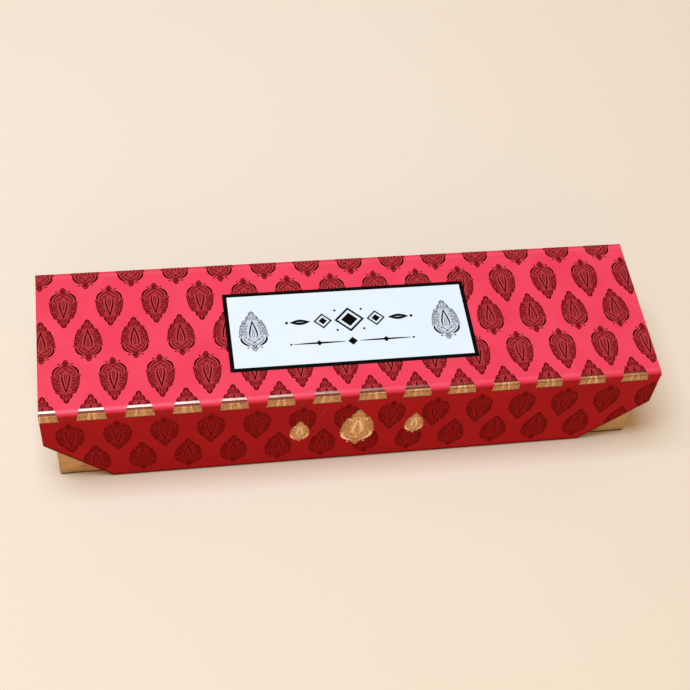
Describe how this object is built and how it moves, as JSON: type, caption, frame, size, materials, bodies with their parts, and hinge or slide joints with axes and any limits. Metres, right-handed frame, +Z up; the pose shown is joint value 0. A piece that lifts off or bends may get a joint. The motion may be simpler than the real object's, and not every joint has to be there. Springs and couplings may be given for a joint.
{
  "type": "mithai sweet box",
  "caption": "Long rigid sweet box: a partitioned gold tray under a hinged printed lid with a magnetic front flap.",
  "frame": {"origin": "middle of the closed box's footprint, on the surface the box stands on", "axes": "+X along the box, to the right as the flap is faced; -Y out of the flap, +Y out of the spine; +Z up"},
  "size_m": [0.3, 0.084, 0.0562],
  "materials": {
    "greyboard": "raw grey board, seen only at cut edges",
    "kraft_tape": "plain brown kraft paper",
    "gold_paper": "satin gold paper with fine creases",
    "steel": "thin bright steel",
    "magnet": "nickel plating",
    "divider_card": "smooth ivory food card",
    "lid_paper": "satin coral red paper with a foil print of leaf medallions",
    "flap_paper": "satin deep red paper with a tone-on-tone print of leaf medallions",
    "lining_paper": "plain ivory paper",
    "label_paper": "smooth white paper with a black edge and silver line ornament",
    "gold_foil": "hot-stamped gold foil"
  },
  "bodies": {
    "root": {"tray_floor_board": "greyboard", "tray_front_board": "greyboard", "tray_back_board": "greyboard", "tray_left_board": "greyboard", "tray_right_board": "greyboard", "corner_stays": "kraft_tape", "tray_wrap": "gold_paper", "tray_lining": "gold_paper", "base_sheet": "kraft_tape", "keeper_discs": "steel", "long_divider": "divider_card", "cross_dividers": "divider_card", "spine_board": "greyboard", "spine_cover": "flap_paper", "spine_lining": "lining_paper", "back_fold": "lid_paper"},
    "lid": {"lid_board": "greyboard", "lid_cover": "lid_paper", "lid_lining": "lining_paper", "label": "label_paper", "front_fold": "lid_paper"},
    "flap": {"flap_band": "flap_paper", "flap_board": "greyboard", "flap_cover": "flap_paper", "flap_lining": "lining_paper", "flap_magnets": "magnet", "flap_medallions": "gold_foil"}
  },
  "joints": [
    {"name": "lid_hinge", "type": "hinge", "parent": "root", "child": "lid", "pos_m": [0, 0.04168, 0.05568], "axis": [-1, 0, 0], "range_deg": [0, 175], "deforming": ["back_fold"]},
    {"name": "flap_hinge", "type": "hinge", "parent": "lid", "child": "flap", "pos_m": [0, -0.04168, 0.05568], "axis": [-1, 0, 0], "range_deg": [0, 175], "deforming": ["front_fold"]}
  ]
}
